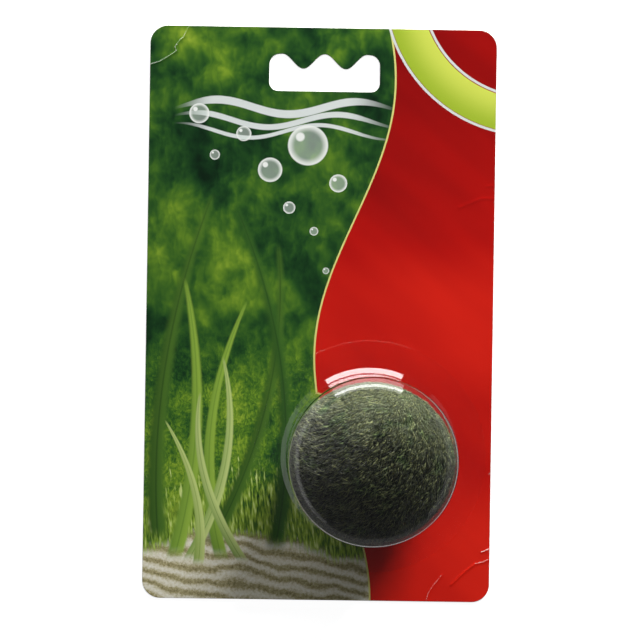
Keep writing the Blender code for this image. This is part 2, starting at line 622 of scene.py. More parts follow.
@dataclass(frozen=True)
class BoardCore:
    """Uncoated white board: the card's cut edges and its back."""

    def make(self) -> bpy.types.Material:
        """Builds the board material.

        Returns:
            The material.
        """
        finish = Finish("card_board_core", {"Specular IOR Level": 0.3})
        graph = finish.graph
        place = finish.position_mm()
        pulp = graph.noise(place, 1.1, 5.0, 0.7)
        fleck = graph.smooth(graph.noise(place, 4.0, 1.0), 0.66, 0.74)
        colour = graph.ramp(pulp, [(0.3, (0.62, 0.60, 0.55)), (0.7, (0.76, 0.75, 0.71))])
        finish.paint(
            Base_Color=graph.mix(0.25 * fleck, colour, (0.40, 0.36, 0.30)),
            Roughness=0.78 + 0.2 * (pulp - 0.5),
            Normal=graph.bump(pulp, 0.00004, 0.6),
        )
        return finish.material


@dataclass(frozen=True)
class ClearSheet:
    """Clear thermoformed plastic. Lamps reach what is behind it."""

    refraction: float = 1.5
    roughness: float = 0.02

    def make(self) -> bpy.types.Material:
        """Builds the clear material.

        Returns:
            The material, which casts no shadow.
        """
        finish = Finish(
            "clear_blister_sheet",
            {
                "Base Color": (0.995, 0.998, 0.998),
                "Roughness": self.roughness,
                "IOR": self.refraction,
                "Transmission Weight": 1.0,
            },
        )
        graph = finish.graph
        place = finish.position_mm()
        finish.paint(Normal=graph.bump(graph.noise(place, 0.12, 1.0), 0.0001, 0.10))
        lamp = graph.add("ShaderNodeLightPath", None, None, "Is Shadow Ray")
        passed = graph.add("ShaderNodeBsdfTransparent", None, {"Color": (1.0, 1.0, 1.0)})
        finish.show(graph.add("ShaderNodeMixShader", None, {0: lamp, 1: finish.principled(), 2: passed}))
        return finish.material


@dataclass(frozen=True)
class MossFibre:
    """Fine moss fibres, painted dark at the root for the shade deep in the coat and paler towards the tip,
    each a little different, with painted light and shade over the ball.
    """

    # The root colour is painted shade deep in the coat.
    root: Colour = (0.006, 0.009, 0.004)
    middle: Colour = (0.062, 0.074, 0.039)
    tip: Colour = (0.155, 0.172, 0.106)

    def make(self) -> bpy.types.Material:
        """Builds the fibre material.

        Returns:
            The material, which reads the mesh's along and tint attributes.
        """
        constants = {"Specular IOR Level": 0.25, "Sheen Weight": 0.15, "Sheen Roughness": 0.5}
        finish = Finish("moss_fibre", constants)
        graph = finish.graph
        place = finish.position_mm()
        along, tint = graph.attribute("along"), graph.attribute("tint")
        patches = graph.noise(place, 0.16, 3.0, 0.6)
        # Painted shade: each fibre darkens towards its root, deep in the coat.
        strand = graph.ramp(along, [(0.05, self.root), (0.45, self.middle), (1.0, self.tip)])
        x, y, _ = graph.separate(place)
        across, up = x - DOME_AXIS[0] / MM, y - (DOME_AXIS[1] - BALL_SAG) / MM
        # Painted light and shade: the fibres are painted paler where the ball faces the lamps, at its upper
        # right, its top left and in a patch between, and painted darker low down, which is in shade.
        facing = 0.020 * across + 0.041 * up + 0.6 * (graph.noise(place, 0.09, 2.0) - 0.5)
        facing += graph.smooth(up, 8.0, 18.0, 0.55) * graph.smooth(across, 8.0, -9.0)
        facing += graph.smooth((across + 4.0) * (across + 4.0) + (up - 9.0) * (up - 9.0), 30.0, 2.0, 0.30)
        painted_light = graph.smooth(facing, 0.20, 0.95)
        painted_shade = 0.60 + graph.smooth(facing, -0.75, 0.15, 0.40)
        # The painted light brightens the fibres' colour and the painted shade darkens it.
        body = graph.mix(1.0, strand, painted_shade * (0.06 + 4.0 * tint**3.5) + painted_light * (1.6 + 0.4 * tint), "MULTIPLY")
        olive = graph.mix(graph.smooth(tint, 0.55, 1.0), body, (1.08, 1.0, 0.74), "MULTIPLY")
        green = graph.mix(graph.smooth(patches, 0.50, 0.68, 0.75), olive, (0.72, 1.05, 0.80), "MULTIPLY")
        finish.paint(Base_Color=green, Roughness=0.55 + 0.25 * patches)
        return finish.material


@dataclass(frozen=True)
class MossBody:
    """The dense mat under the fibres, painted near-black for the shade beneath them."""

    def make(self) -> bpy.types.Material:
        """Builds the mat's material.

        Returns:
            The material.
        """
        finish = Finish("moss_mat", {"Specular IOR Level": 0.15})
        graph = finish.graph
        place = finish.position_mm()
        strands = graph.noise(place, 1.8, 5.0, 0.7, 1.5)
        finish.paint(
            # Painted shade: the mat is coloured near-black for the shade under the fibres.
            Base_Color=graph.ramp(strands, [(0.35, (0.004, 0.006, 0.003)), (0.65, (0.030, 0.038, 0.017))]),
            Roughness=0.85 + 0.1 * strands,
            Normal=graph.bump(strands, 0.0003, 0.8),
        )
        return finish.material


# Shared making


def arc(centre: Point2, radius: float, start: float, end: float, steps: int) -> list[Point2]:
    """Points on an arc, both its ends included, between two angles in degrees."""
    angles = [math.radians(start + (end - start) * i / steps) for i in range(steps + 1)]
    return [(centre[0] + radius * math.cos(a), centre[1] + radius * math.sin(a)) for a in angles]


def new_object(name: str, mesh: bpy.types.Mesh) -> bpy.types.Object:
    """Puts a mesh into the scene as an object at the origin.

    Args:
        name: the object's name.
        mesh: its mesh.

    Returns:
        The object.
    """
    thing = bpy.data.objects.new(name, mesh)
    bpy.context.scene.collection.objects.link(thing)
    return thing


def smooth_noise(x: float, y: float, z: float) -> float:
    """Repeatable noise from -1 to 1."""
    return noise.noise(Vector((x, y, z)))


class NodeTool:
    """A Geometry Nodes tree with named inputs, which is run on an object and leaves a plain mesh."""

    KINDS = {float: "NodeSocketFloat", int: "NodeSocketInt"}

    def __init__(self, name: str, sizes: dict[str, float | int]) -> None:
        """Starts a tree.

        Args:
            name: the tree's name.
            sizes: the tree's named inputs and their values.
        """
        self.tree = bpy.data.node_groups.new(name, "GeometryNodeTree")
        self.graph = Graph(self.tree)
        self.sizes = sizes
        face = self.tree.interface
        face.new_socket(name="Geometry", in_out="INPUT", socket_type="NodeSocketGeometry")
        self.sockets = {
            size: face.new_socket(name=size, in_out="INPUT", socket_type=self.KINDS[type(value)])
            for size, value in sizes.items()
        }
        face.new_socket(name="Geometry", in_out="OUTPUT", socket_type="NodeSocketGeometry")
        self.inlet = self.graph.add("NodeGroupInput")

    def size(self, name: str) -> Wire:
        """The wire of a named input."""
        return self.inlet.output(name)

    def close(self, result: Wire, material: bpy.types.Material) -> None:
        """Ends the tree in Realize Instances and Set Material.

        Args:
            result: the geometry that the tree has made.
            material: its material.
        """
        solid = self.graph.add("GeometryNodeRealizeInstances", None, {"Geometry": result})
        dressed = self.graph.add("GeometryNodeSetMaterial", None, {"Geometry": solid, "Material": material})
        self.graph.node("NodeGroupOutput", None, {"Geometry": dressed})

    def run(self, host: bpy.types.Object, name: str) -> bpy.types.Object:
        """Runs the tree on an object, and keeps the result as a new object.

        Args:
            host: the object that carries the input mesh. It is removed.
            name: the new object's name.

        Returns:
            The new object, with a plain mesh and no modifier.
        """
        modifier = host.modifiers.new("make", "NODES")
        modifier.node_group = self.tree
        for size, value in self.sizes.items():
            modifier[self.sockets[size].identifier] = value
        graph = bpy.context.evaluated_depsgraph_get()
        mesh = bpy.data.meshes.new_from_object(host.evaluated_get(graph))
        bpy.data.objects.remove(host, do_unlink=True)
        mesh.name = name
        return new_object(name, mesh)


# Card

FAR_AWAY = 1e9
# How the front is triangulated: inside its rims, with points joined when they are this near, in millimetres.
OUTLINED = 5
TOUCHING = 1e-6


@dataclass(frozen=True)
class Crease:
    """A fold line in the board: a low ridge, with the print worn through beside it."""

    points: tuple[Point2, ...]
    height: float = 0.16
    width: float = 0.42
    wear: float = 0.8
    wear_width: float = 0.13
    wear_shift: Point2 = (-0.15, 0.12)

    def distance(self, places: np.ndarray, shift: Point2 = (0.0, 0.0)) -> np.ndarray:
        """How far places are from the line.

        Args:
            places: the places, one a row.
            shift: how far the line is moved first.

        Returns:
            The distances.
        """
        best = np.full(len(places), FAR_AWAY)
        for start, end in zip(self.points, self.points[1:]):
            a, b = np.add(start, shift), np.add(end, shift)
            span = b - a
            t = np.clip(((places - a) @ span) / (span @ span), 0.0, 1.0)
            best = np.minimum(best, np.linalg.norm(places - (a + t[:, None] * span), axis=1))
        return best


@dataclass
class PrintedCard:
    """The printed board with its scalloped hang slot, its creases and its nicked edges."""

    width: float = 0.097
    height: float = 0.160
    thickness: float = 0.0006
    corner_radius: float = 0.005
    slot_centre_x: float = 0.00035
    slot_bottom_y: float = 0.0622
    slot_width: float = 0.0308
    slot_height: float = 0.0103
    slot_corner_radius: float = 0.0024
    slot_lobe_spacing: float = 0.0119
    slot_point_depth: float = 0.0041
    slot_end_round: float = 0.0030
    edge_round: float = 0.00010
    corner_steps: int = 14
    slot_corner_steps: int = 8
    slot_lobe_steps: int = 60
    rim_step: float = 0.0012
    slot_step: float = 0.0006
    # How far apart the front's points are, and from how near to how far from a crease, in millimetres.
    grids: tuple[tuple[float, float, float], ...] = ((1.7, 3.0, FAR_AWAY), (0.55, 1.1, 3.0), (0.20, 0.0, 1.1))
    sharp_angle: float = 30.0
    creases: tuple[Crease, ...] = (
        Crease(
            (
                (-37.54, 79.88),
                (-38.67, 77.73),
                (-39.18, 76.59),
                (-40.06, 75.94),
                (-41.45, 73.99),
                (-41.07, 72.75),
                (-43.16, 71.31),
                (-45.44, 69.86),
                (-48.3, 68.9),
            ),
            height=0.15,
            width=0.30,
            wear=0.56,
        ),
        Crease(((48.3, -65.1), (47.2, -65.7), (46.2, -66.0)), height=0.10, width=0.30, wear=0.75),
        Crease(((48.3, -68.0), (46.7, -68.8), (44.5, -69.3)), height=0.09, width=0.30, wear=0.60),
        Crease(
            ((44.5, -69.3), (42.2, -71.0), (39.6, -73.4), (37.8, -75.2)),
            height=0.12,
            width=0.34,
            wear=0.28,
        ),
        Crease(
            ((35.2, -72.6), (34.4, -73.7), (32.2, -76.6), (31.5, -77.9), (31.0, -79.9)),
            height=0.08,
            wear=0.52,
        ),
        Crease(((48.39, 32.86), (44.75, 32.89), (38.64, 30.26)), height=0.05, width=0.5, wear=0.22),
        Crease(((48.3, 36.6), (46.3, 36.3)), height=0.05, width=0.4, wear=0.30),
    )
    # Small places where the print is rubbed off, with their radius.
    nicks: tuple[tuple[float, float, float], ...] = (
        (48.2, -44.2, 0.55),
        (42.4, -76.2, 0.35),
        (45.0, 77.6, 0.35),
        (-48.3, 20.5, 0.30),
        (-47.9, -76.0, 0.40),
        (12.0, 79.8, 0.25),
    )

    def outline(self) -> list[Point2]:
        """The card's rounded rectangle.

        Returns:
            Its points, anticlockwise.
        """
        reach_x, reach_y = self.width / 2 - self.corner_radius, self.height / 2 - self.corner_radius
        points: list[Point2] = []
        for centre, start in (
            ((reach_x, -reach_y), -90),
            ((reach_x, reach_y), 0),
            ((-reach_x, reach_y), 90),
            ((-reach_x, -reach_y), 180),
        ):
            points += arc(centre, self.corner_radius, start, start + 90, self.corner_steps)
        return points

    def slot_outline(self) -> list[Point2]:
        """The hang slot: rounded lower corners, and a top edge of three lobes with two points between.

        Returns:
            Its points, anticlockwise.
        """
        half, round_low, round_end = self.slot_width / 2, self.slot_corner_radius, self.slot_end_round
        top = self.slot_bottom_y + self.slot_height
        low_y = self.slot_bottom_y + round_low
        turn, steps = self.slot_corner_steps, self.slot_lobe_steps
        points = arc((half - round_low, low_y), round_low, -90, 0, turn)
        points += arc((half - round_end, top - round_end), round_end, 0, 72, turn)
        reach = half - round_end
        for step in range(steps):
            x = reach - 2 * reach * (step + 0.5) / steps
            swing = 0.5 - 0.5 * math.cos(2 * math.pi * x / self.slot_lobe_spacing)
            points.append((x, top - self.slot_point_depth * swing))
        points += arc((round_end - half, top - round_end), round_end, 108, 180, turn)
        points += arc((round_low - half, low_y), round_low, 180, 270, turn)
        return [(x + self.slot_centre_x, y) for x, y in points]

    @staticmethod
    def spread(points: list[Point2], step: float) -> list[Point2]:
        """A closed line with points added.

        Args:
            points: the line.
            step: the longest gap that is left.

        Returns:
            The line with its new points.
        """
        result: list[Point2] = []
        for (ax, ay), (bx, by) in zip(points, points[1:] + points[:1]):
            parts = max(1, math.ceil(math.hypot(bx - ax, by - ay) / step))
            result += [(ax + (bx - ax) * i / parts, ay + (by - ay) * i / parts) for i in range(parts)]
        return result

    @staticmethod
    def moved(points: list[Point2], distance: float) -> list[Point2]:
        """A closed anticlockwise line moved outwards.

        Args:
            points: the line.
            distance: how far each point moves. Below 0 is inwards.

        Returns:
            The moved line.
        """
        result = []
        for before, here, after in zip(points[-1:] + points[:-1], points, points[1:] + points[:1]):
            run = Vector(after) - Vector(before)
            normal = Vector((run.y, -run.x)).normalized()
            result.append((here[0] + normal.x * distance, here[1] + normal.y * distance))
        return result

    @staticmethod
    def inside(line: list[Point2], places: np.ndarray) -> np.ndarray:
        """Which places lie inside a closed line.

        Args:
            line: the line.
            places: the places, one a row.

        Returns:
            True for each place inside.
        """
        points = np.array(line)
        inside = np.zeros(len(places), bool)
        for (ax, ay), (bx, by) in zip(points, np.roll(points, -1, 0)):
            crosses = (ay > places[:, 1]) != (by > places[:, 1])
            with np.errstate(divide="ignore", invalid="ignore"):
                at = ax + (places[:, 1] - ay) * (bx - ax) / (by - ay)
            inside ^= crosses & (places[:, 0] < at)
        return inside

    def net(self) -> tuple[np.ndarray, list[Point2], list[Point2]]:
        """The front's points in millimetres, finest beside the creases.

        Returns:
            The points inside, the card's rim and the slot's.
        """
        rim = [(x / MM, y / MM) for x, y in self.spread(self.outline(), self.rim_step)]
        hole = [(x / MM, y / MM) for x, y in self.spread(self.slot_outline(), self.slot_step)]
        lattices = []
        for step, low, high in self.grids:
            # Rows lie closer than the points in them, and every second one is half a step along.
            row_step = step * 0.866
            rows = np.arange(-self.height / MM / 2, self.height / MM / 2, row_step)
            columns = np.arange(-self.width / MM / 2, self.width / MM / 2, step)
            grid = np.array([(x + (row % 2) * step / 2, y) for row, y in enumerate(rows) for x in columns])
            away = np.min([crease.distance(grid) for crease in self.creases], 0)
            keep = (away >= low) & (away < high)
            margin = 0.45 * step + 0.1
            keep &= self.inside(self.moved(rim, -margin), grid)
            keep &= ~self.inside(self.moved(hole, margin), grid)
            lattices.append(grid[keep])
        return np.concatenate(lattices), rim, hole

    def lift(self, places: np.ndarray) -> np.ndarray:
        """How far the board stands up: ridges along the creases.

        Args:
            places: the places, one a row.

        Returns:
            The heights in metres.
        """
        height = np.zeros(len(places))
        for crease in self.creases:
            away = crease.distance(places)
            height = np.maximum(height, crease.height * np.exp(-((away / crease.width) ** 2)))
        return height * MM

    def wear(self, places: np.ndarray) -> np.ndarray:
        """How worn through the print is.

        Args:
            places: the places, one a row.

        Returns:
            The wear, from 0 to 1.
        """
        worn = np.zeros(len(places))
        for crease in self.creases:
            away = crease.distance(places, crease.wear_shift)
            worn = np.maximum(worn, crease.wear * np.exp(-((away / crease.wear_width) ** 2)))
        for x, y, radius in self.nicks:
            away = np.linalg.norm(places - (x, y), axis=1)
            worn = np.maximum(worn, np.exp(-((away / radius) ** 2)))
        return worn

    def triangulated(
        self, rim: list[Point2], hole: list[Point2], inner: np.ndarray
    ) -> tuple[np.ndarray, list[Face], list[list[int]]]:
        """Fills the front between the card's rim and the slot with triangles.

        Args:
            rim: the card's rim in millimetres.
            hole: the slot's rim.
            inner: the points between them.

        Returns:
            The front's points, its triangles, anticlockwise, and which of its points lie along each rim.
        """
        n_rim, n_hole = len(rim), len(hole)
        loops = [(i, (i + 1) % n_rim) for i in range(n_rim)]
        loops += [(n_rim + i, n_rim + (i + 1) % n_hole) for i in range(n_hole)]
        flat = [Vector(p) for p in rim + hole] + [Vector(p) for p in inner]
        points, _, faces, origins, _, _ = geometry.delaunay_2d_cdt(flat, loops, [], OUTLINED, TOUCHING)
        at = {source: new for new, sources in enumerate(origins) for source in sources}
        places = np.array([tuple(p) for p in points])
        middles = np.array([places[list(f)].mean(0) for f in faces])
        kept = [tuple(f) for f, cut in zip(faces, self.inside(hole, middles)) if not cut]
        front = [f if self._turns_left(places, f) else f[::-1] for f in kept]
        rims = [[at[i] for i in range(n_rim)], [at[n_rim + i] for i in range(n_hole)]]
        return places, front, rims

    def mesh(self) -> bpy.types.Mesh:
        """The board as one closed mesh: front, back, and bevelled edges round the card and in the slot.

        Returns:
            The mesh, with its wear stored at its points.
        """
        inner, rim, hole = self.net()
        inset = self.edge_round / MM
        places, front, rims = self.triangulated(self.moved(rim, -inset), self.moved(hole, inset), inner)
        rise = self.lift(places)
        count, top, bevel = len(places), self.thickness, self.edge_round
        verts = [(x * MM, y * MM, top + z) for (x, y), z in zip(places, rise)]
        verts += [(x * MM, y * MM, z) for (x, y), z in zip(places, rise)]
        faces = front + [tuple(count + i for i in reversed(f)) for f in front]
        for line, on_front, outwards in ((rim, rims[0], True), (hole, rims[1], False)):
            start, size, rises = len(verts), len(line), self.lift(np.array(line))
            verts += [(x * MM, y * MM, top - bevel + z) for (x, y), z in zip(line, rises)]
            verts += [(x * MM, y * MM, bevel + z) for (x, y), z in zip(line, rises)]
            for i in range(size):
                j = (i + 1) % size
                rings = (
                    (on_front[i], on_front[j]),
                    (start + i, start + j),
                    (start + size + i, start + size + j),
                    (count + on_front[i], count + on_front[j]),
                )
                for (a, b), (c, d) in zip(rings, rings[1:]):
                    faces.append((a, c, d, b) if outwards else (a, b, d, c))
        mesh = bpy.data.meshes.new("printed_card")
        mesh.from_pydata(verts, [], faces)
        cut_board = np.ones(len(faces), np.int32)
        cut_board[: len(front)] = 0
        mesh.polygons.foreach_set("material_index", cut_board)
        worn = np.zeros(len(verts), np.float32)
        worn[:count] = self.wear(places)
        mesh.attributes.new("wear", "FLOAT", "POINT").data.foreach_set("value", worn)
        return mesh

    def build(self) -> bpy.types.Object:
        """Makes the card and dresses it.

        Returns:
            The card.
        """
        mesh = self.mesh()
        mesh.materials.append(PrintedFront().make())
        mesh.materials.append(BoardCore().make())
        mesh.shade_smooth()
        mesh.set_sharp_from_angle(angle=math.radians(self.sharp_angle))
        mesh.validate()
        card = new_object("printed_card_board", mesh)
        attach(card, BODY)
        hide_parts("card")
        return card

    @staticmethod
    def _turns_left(places: np.ndarray, face: Face) -> bool:
        """True if a face runs anticlockwise."""
        a, b, c = (places[i] for i in face[:3])
        return (b[0] - a[0]) * (c[1] - a[1]) - (b[1] - a[1]) * (c[0] - a[0]) > 0


# Blister


@dataclass
class ClearBlister:
    """The clear dome with its sloping foot and its round flange, turned from one closed section."""

    axis: Point2 = DOME_AXIS
    sheet: float = 0.00035
    flange_radius: float = 0.03235
    flange_top: float = 0.00100
    foot_radius: float = 0.0250
    wall_foot_radius: float = 0.0232
    wall_foot_z: float = 0.0026
    wall_top_radius: float = 0.0229
    # The bends from the wall up to the crown: the slope each begins at, in degrees, and its radius.
    shoulder: tuple[tuple[float, float], ...] = ((90.0, 0.0018), (54.0, 0.0170), (38.0, 0.0113))
    crown_slope: float = 6.0
    crown_edge_z: float = 0.04555
    fillet: float = 0.00026
    crown_steps: int = 10
    bend_steps: int = 14
    turn_steps: int = 224
    merge_distance: float = 2e-6

    def outer(self) -> list[Point2]:
        """The outer side, from the crown's middle to the flange's rim.

        Returns:
            Its points, as radius and height.
        """
        shoulder = self.shoulder_line()
        edge_x, edge_z = shoulder[0]
        radius = edge_x / math.sin(math.radians(self.crown_slope))
        centre = (0.0, edge_z - radius * math.cos(math.radians(self.crown_slope)))
        crown = arc(centre, radius, 90, 90 - self.crown_slope, self.crown_steps)
        crown[0] = (0.0, crown[0][1])
        wall_foot = (self.wall_foot_radius, self.wall_foot_z)
        foot = (self.foot_radius, self.flange_top)
        rim = (self.flange_radius, self.flange_top)
        bends = (self.rounded(shoulder[-1], wall_foot, foot), self.rounded(wall_foot, foot, rim))
        line = crown + shoulder[1:]
        for run in (*bends, [rim]):
            line += self.held(line[-1], run[0]) + run
        return line

    def shoulder_line(self) -> list[Point2]:
        """The shoulder, which is worked out upwards from the wall: a tight bend, then two wider ones.

        Returns:
            Its points from the crown's edge down to the wall's top, as radius and height.
        """
        line = [(self.wall_top_radius, 0.0)]
        slopes = [slope for slope, _ in self.shoulder[1:]] + [self.crown_slope]
        for (start, radius), end in zip(self.shoulder, slopes):
            x, z = line[-1]
            centre = (x - radius * math.sin(math.radians(start)), z - radius * math.cos(math.radians(start)))
            line += arc(centre, radius, 90 - start, 90 - end, self.bend_steps)[1:]
        drop = self.crown_edge_z - line[-1][1]
        return [(x, z + drop) for x, z in reversed(line)]

    def rounded(self, before: Point2, corner: Point2, after: Point2) -> list[Point2]:
        """A corner replaced by a small smooth bend.

        Args:
            before: the point before the corner.
            corner: the corner.
            after: the point after it.

        Returns:
            The bend's points.
        """
        here = Vector(corner)
        start = here + (Vector(before) - here).normalized() * self.fillet
        end = here + (Vector(after) - here).normalized() * self.fillet
        steps = (0, 0.17, 0.33, 0.5, 0.67, 0.83, 1)
        return [tuple(start.lerp(here, t).lerp(here.lerp(end, t), t)) for t in steps]

    @staticmethod
    def held(start: Point2, end: Point2) -> list[Point2]:
        """Points close to the ends of a straight run, which keep its shading straight."""
        return [tuple(Vector(start).lerp(Vector(end), t)) for t in (0.03, 0.35, 0.65, 0.97)]

    def section(self) -> list[Point2]:
        """The closed section: the outer side, the cut rim, and the inner side back to the axis.

        Returns:
            Its points, as radius and height.
        """
        outer = [Vector(p) for p in self.outer()]
        inner = []
        for before, here, after in zip([outer[0], *outer], outer, [*outer[1:], outer[-1]]):
            run = (after - before).normalized()
            inner.append(here - Vector((-run.y, run.x)) * self.sheet)
        inner[0].x = 0.0
        steps = ((0.00005, -0.00004), (0.00009, -0.00010), (0.00009, -self.sheet))
        rim = [outer[-1] + Vector(step) for step in steps]
        return [tuple(p) for p in outer + rim + inner[::-1]]

    def build(self) -> bpy.types.Object:
        """Makes the blister and dresses it.

        Returns:
            The blister.
        """
        section = self.section()
        links = [(i, i + 1) for i in range(len(section) - 1)]
        mesh = bpy.data.meshes.new("section")
        mesh.from_pydata([(r, 0.0, z) for r, z in section], links, [])
        tool = NodeTool(
            "turned_sheet",
            {
                "Turn Steps": self.turn_steps,
                "Section Points": len(section),
                "Axis X": self.axis[0],
                "Axis Y": self.axis[1],
            },
        )
        graph, rows = tool.graph, tool.size("Section Points")
        grid_size = {"Vertices X": tool.size("Turn Steps") + 1, "Vertices Y": rows}
        grid = graph.add("GeometryNodeMeshGrid", None, grid_size, "Mesh")
        index = graph.add("GeometryNodeInputIndex")
        row = graph.math("FLOORED_MODULO", index, rows)
        column = graph.math("FLOOR", (index + 0.5) / rows)
        place = graph.add("GeometryNodeInputPosition")
        sample = graph.add(
            "GeometryNodeSampleIndex",
            {"data_type": "FLOAT_VECTOR", "domain": "POINT"},
            {"Geometry": tool.inlet.output("Geometry"), "Value": place, "Index": row},
        )
        radius, _, height = graph.separate(sample)
        angle = column / tool.size("Turn Steps") * math.tau
        turned = graph.combine(
            radius * graph.math("COSINE", angle) + tool.size("Axis X"),
            radius * graph.math("SINE", angle) + tool.size("Axis Y"),
            height,
        )
        shell = graph.add("GeometryNodeSetPosition", None, {"Geometry": grid, "Position": turned})
        closed = graph.add(
            "GeometryNodeMergeByDistance", None, {"Geometry": shell, "Distance": self.merge_distance}
        )
        tool.close(graph.add("GeometryNodeSetShadeSmooth", None, {"Geometry": closed}), ClearSheet().make())
        blister = tool.run(new_object("section", mesh), "clear_blister")
        self._face_outwards(blister.data)
        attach(blister, BODY)
        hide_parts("blister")
        return blister

    @staticmethod
    def _face_outwards(mesh: bpy.types.Mesh) -> None:
        """Turns a closed shell's faces outwards.

        Args:
            mesh: the shell, which is changed.
        """
        form = bmesh.new()
        form.from_mesh(mesh)
        bmesh.ops.recalc_face_normals(form, faces=form.faces)
        if form.calc_volume(signed=True) < 0:
            bmesh.ops.reverse_faces(form, faces=form.faces)
        form.to_mesh(mesh)
        form.free()


# Moss ball


@dataclass(frozen=True)
class Coat:
    """One layer of fibres.

    Its lengths are metres. lift is how high a fibre arches, as a share of its length. tangle is how far it
    turns from its neighbours, in degrees, and wander how far its tip drifts.
    """

    name: str
    count: int
    length: float
    thickness: float
    lift: float
    tangle: float
    wander: float
    seed: int


@dataclass
class MossBall:
    """The ball: a dense lumpy mat, and coats of combed fibres that follow one flow over it."""

    axis: Point2 = DOME_AXIS
    sag: float = BALL_SAG
    half_width: float = 0.0223
    half_height: float = 0.0215
    half_depth: float = 0.0218
    centre_z: float = 0.0226
    mat_subdivisions: int = 6
    lump_height: float = 0.00030
    pit_depth: float = 0.0007
    pit_cover: float = 0.3
    # The share of the surface that a coat's count is spread over, and how thin it gets at the ball's foot.
    coverage: float = 0.93
    foot_cover: float = 0.25
    # The space inside the dome and above the card.
    room_radius: float = 0.02262
    room_top: float = 0.0453
    floor_z: float = 0.00068
    # How widely a comb direction is felt, and how far the fibres stray from it.
    comb_reach: float = 0.015
    stray_scale: float = 3.1
    stray: float = 0.30
    # How far round the edge the fibres still look combed from the front, and how they lie on the back.
    edge_depth: float = 0.12
    back_stray: float = 0.35
    coats: tuple[Coat, ...] = (
        Coat("moss_underfur", 19500, 0.0028, 0.000300, 0.26, 34.0, 0.0006, 11),
        Coat("moss_combed_a", 19500, 0.0031, 0.000280, 0.30, 20.0, 0.0006, 12),
        Coat("moss_combed_b", 19500, 0.0028, 0.000270, 0.36, 24.0, 0.0007, 13),
        Coat("moss_combed_c", 19500, 0.0025, 0.000250, 0.42, 28.0, 0.0007, 14),
        Coat("moss_loose_tips", 19500, 0.0021, 0.000170, 0.50, 44.0, 0.0008, 15),
    )
    # Places on the front, in ball radii right and up, with the way the tips point there, in degrees from +X.
    combing: tuple[tuple[float, float, float], ...] = (
        (-0.92, 0.20, 140.0),
        (-0.92, -0.10, 142.0),
        (-0.72, 0.60, 156.0),
        (-0.72, 0.25, 158.0),
        (-0.72, -0.05, 168.0),
        (-0.72, -0.35, 176.0),
        (-0.70, -0.58, 158.0),
        (-0.50, 0.60, 214.0),
        (-0.50, 0.30, 216.0),
        (-0.50, -0.05, 204.0),
        (-0.50, -0.40, 202.0),
        (-0.50, -0.75, 168.0),
        (-0.25, 0.85, 212.0),
        (-0.20, 0.45, 220.0),
        (-0.20, 0.05, 214.0),
        (-0.20, -0.40, 208.0),
        (-0.25, -0.88, 196.0),
        (0.10, 0.85, 204.0),
        (0.12, 0.40, 222.0),
        (0.15, 0.00, 223.0),
        (0.12, -0.45, 208.0),
        (0.10, -0.80, 220.0),
        (0.34, 0.80, 250.0),
        (0.50, 0.66, 272.0),
        (0.72, 0.58, 308.0),
        (0.45, 0.25, 226.0),
        (0.70, 0.28, 256.0),
        (0.90, 0.15, 276.0),
        (0.60, -0.05, 224.0),
        (0.60, -0.38, 223.0),
        (0.90, -0.18, 242.0),
        (0.45, -0.62, 242.0),
        (0.65, -0.65, 232.0),
        (0.35, -0.88, 214.0),
    )
    # Small pits in the coat: their places in the same measure, and their radius.
    pits: tuple[tuple[float, float, float], ...] = (
        (0.38, 0.54, 0.055),
        (0.86, 0.21, 0.06),
        (0.62, -0.06, 0.035),
    )

    def centre(self) -> Vector:
        """The ball's middle."""
        return Vector((self.axis[0], self.axis[1] - self.sag, self.centre_z))

    def flow(self, direction: Vector) -> Vector:
        """The way the fibres lie at a place on the ball.

        Args:
            direction: the way from the ball's middle to the place.

        Returns:
            The way their tips point, along the surface.
        """
        total, weights = Vector((0.0, 0.0)), 0.0
        for u, v, angle in self.combing:
            gap = (direction.x - u) ** 2 + (direction.y - v) ** 2 + self.comb_reach
            weight = 1.0 / gap**2
            total += Vector((math.cos(math.radians(angle)), math.sin(math.radians(angle)))) * weight
            weights += weight
        total /= weights
        x, y, z = (part * self.stray_scale for part in direction)
        stray_x, stray_y = smooth_noise(x + 7.0, y, z), smooth_noise(x, y + 9.0, z)
        lay = Vector((total.x + self.stray * stray_x, total.y + self.stray * stray_y, 0.0))
        if direction.z > 0:
            # Seen from the front, the fibres keep the combed direction out to the ball's edge.
            lay.z = -lay.dot(direction) / max(direction.z, self.edge_depth)
        else:
            lay.z = self.back_stray * smooth_noise(*(direction * 2.0))
        lay -= direction * lay.dot(direction)
        return lay.normalized() if lay.length > 1e-4 else direction.orthogonal().normalized()

    def mat(self) -> bpy.types.Mesh:
        """The ball's body under the fibres, a lumpy icosphere.

        Returns:
            The mesh, with the fibres' flow and how thickly they grow stored at its points.
        """
        mesh = bpy.data.meshes.new("moss_mat")
        form = bmesh.new()
        bmesh.ops.create_icosphere(form, subdivisions=self.mat_subdivisions, radius=1.0)
        sizes = Vector((self.half_width, self.half_height, self.half_depth))
        centre = self.centre()
        flows, covers = [], []
        for vertex in form.verts:
            way = vertex.co.normalized()
            lump = 0.6 * smooth_noise(*(way * 2.3)) + 0.4 * smooth_noise(*(way * 5.5))
            pit = max(math.exp(-((way.x - u) ** 2 + (way.y - v) ** 2) / r**2) for u, v, r in self.pits)
            pit *= way.z > 0
            place = centre + way * sizes + way * (self.lump_height * lump - self.pit_depth * pit)
            place.z = max(place.z, self.floor_z + 0.0002)
            vertex.co = place
            flows.append(self.flow(way))
            # The cover rises from its least, where the ball rests, to 1 a little above.
            above_foot = min(1.0, max(0.0, (way.z + 0.95) / 0.35))
            cover = self.foot_cover + (1.0 - self.foot_cover) * above_foot
            covers.append(cover * (1.0 - (1.0 - self.pit_cover) * pit))
        form.to_mesh(mesh)
        form.free()
        store = mesh.attributes.new("flow", "FLOAT_VECTOR", "POINT")
        store.data.foreach_set("vector", np.array([tuple(f) for f in flows], np.float32).ravel())
        store = mesh.attributes.new("cover", "FLOAT", "POINT")
        store.data.foreach_set("value", np.array(covers, np.float32))
        mesh.shade_smooth()
        return mesh

